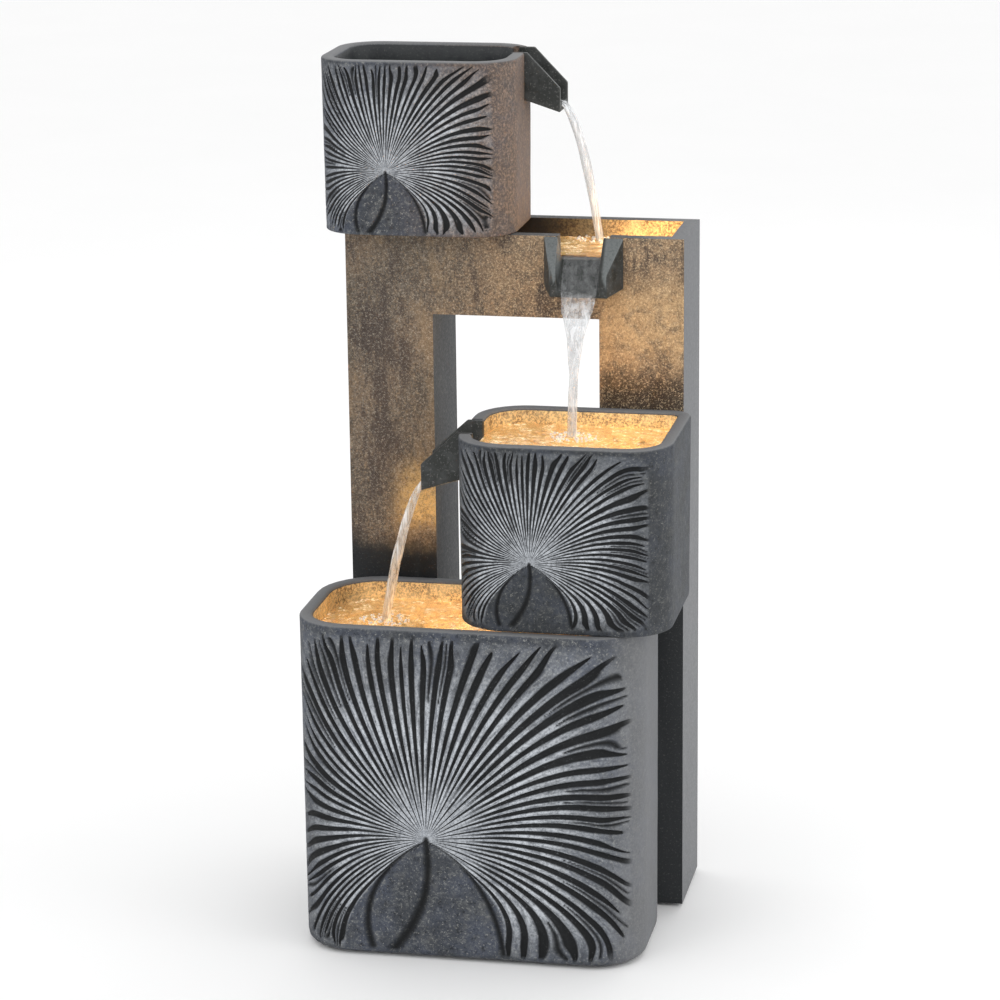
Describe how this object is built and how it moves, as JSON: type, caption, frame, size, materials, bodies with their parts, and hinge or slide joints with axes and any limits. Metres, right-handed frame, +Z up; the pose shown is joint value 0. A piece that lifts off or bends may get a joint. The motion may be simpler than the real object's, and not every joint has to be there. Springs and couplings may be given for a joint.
{
  "type": "tiered water fountain",
  "caption": "Free-standing tiered garden fountain: open portal frame with a trough, leaf-relief tanks, side spouts, pump, lights and wiring.",
  "frame": {"origin": "centre of the bounding box's footprint, on the ground", "axes": "+Z up; the leaf-relief fronts of the tanks face -Y; the side spout of the upper tank points to +X"},
  "size_m": [0.358, 0.291, 0.83],
  "materials": {
    "slate_resin": "matte",
    "bronze_resin": "matte",
    "spout_resin": "satin",
    "black_plastic": "satin",
    "grey_plastic": "satin",
    "black_rubber": "matte",
    "cable_sheath": "satin",
    "stainless_steel": "satin",
    "light_lens": "gloss",
    "clear_vinyl": "gloss"
  },
  "bodies": {
    "fountain": {"cable_gland": "black_plastic", "cable_gland_nut": "grey_plastic", "cable_grommet": "black_rubber", "frame_pad_1": "black_rubber", "frame_pad_2": "black_rubber", "frame_pad_3": "black_rubber", "frame_pad_4": "black_rubber", "hose_clamp_1": "stainless_steel", "hose_clamp_2": "stainless_steel", "hose_grommet": "black_rubber", "inlet_fitting": "grey_plastic", "inlet_nut": "grey_plastic", "junction_box": "grey_plastic", "junction_box_lid": "grey_plastic", "lower_light_cable": "cable_sheath", "lower_light_housing": "black_plastic", "lower_light_lens": "light_lens", "lower_light_nut": "grey_plastic", "lower_tank": "slate_resin", "middle_light_cable": "cable_sheath", "middle_light_housing": "black_plastic", "middle_light_lens": "light_lens", "middle_light_nut": "grey_plastic", "middle_spout": "spout_resin", "middle_tank": "slate_resin", "portal_frame": "bronze_resin", "pump_body": "black_plastic", "pump_cable": "cable_sheath", "pump_foot_1": "black_rubber", "pump_foot_2": "black_rubber", "pump_foot_3": "black_rubber", "pump_foot_4": "black_rubber", "pump_outlet_nozzle": "black_plastic", "pump_shaft": "stainless_steel", "rear_panel": "bronze_resin", "rear_panel_screw_1": "stainless_steel", "rear_panel_screw_2": "stainless_steel", "rear_panel_screw_3": "stainless_steel", "rear_panel_screw_4": "stainless_steel", "riser_hose": "clear_vinyl", "supply_lead": "cable_sheath", "tank_bolt_1": "stainless_steel", "tank_bolt_2": "stainless_steel", "tank_pad_1": "black_rubber", "tank_pad_2": "black_rubber", "tank_pad_3": "black_rubber", "tank_pad_4": "black_rubber", "trough_light_cable": "cable_sheath", "trough_light_housing": "black_plastic", "trough_light_lens": "light_lens", "trough_light_nut": "grey_plastic", "trough_spout": "spout_resin", "upper_spout": "spout_resin", "upper_tank": "slate_resin"},
    "impeller": {"pump_impeller": "grey_plastic"},
    "flow_dial": {"pump_flow_dial": "grey_plastic"},
    "strainer_cover": {"pump_strainer_cover": "black_plastic"},
    "access_door": {"access_door": "grey_plastic"},
    "drain_plug": {"drain_plug": "black_rubber"}
  },
  "joints": [
    {"name": "impeller_spin", "type": "hinge", "parent": "fountain", "child": "impeller", "pos_m": [-0.106, -0.053, 0.046], "axis": [0, 1, 0], "continuous": true},
    {"name": "flow_dial_turn", "type": "hinge", "parent": "fountain", "child": "flow_dial", "pos_m": [-0.1343, -0.03, 0.046], "axis": [-1, 0, 0], "range_deg": [0, 270]},
    {"name": "strainer_cover_pull", "type": "slide", "parent": "fountain", "child": "strainer_cover", "axis": [0, -1, 0], "range_m": [0, 0.04]},
    {"name": "access_door_pull", "type": "slide", "parent": "fountain", "child": "access_door", "axis": [0, 1, 0], "range_m": [0, 0.04]},
    {"name": "drain_plug_pull", "type": "slide", "parent": "fountain", "child": "drain_plug", "axis": [-1, 0, 0], "range_m": [0, 0.03]}
  ]
}
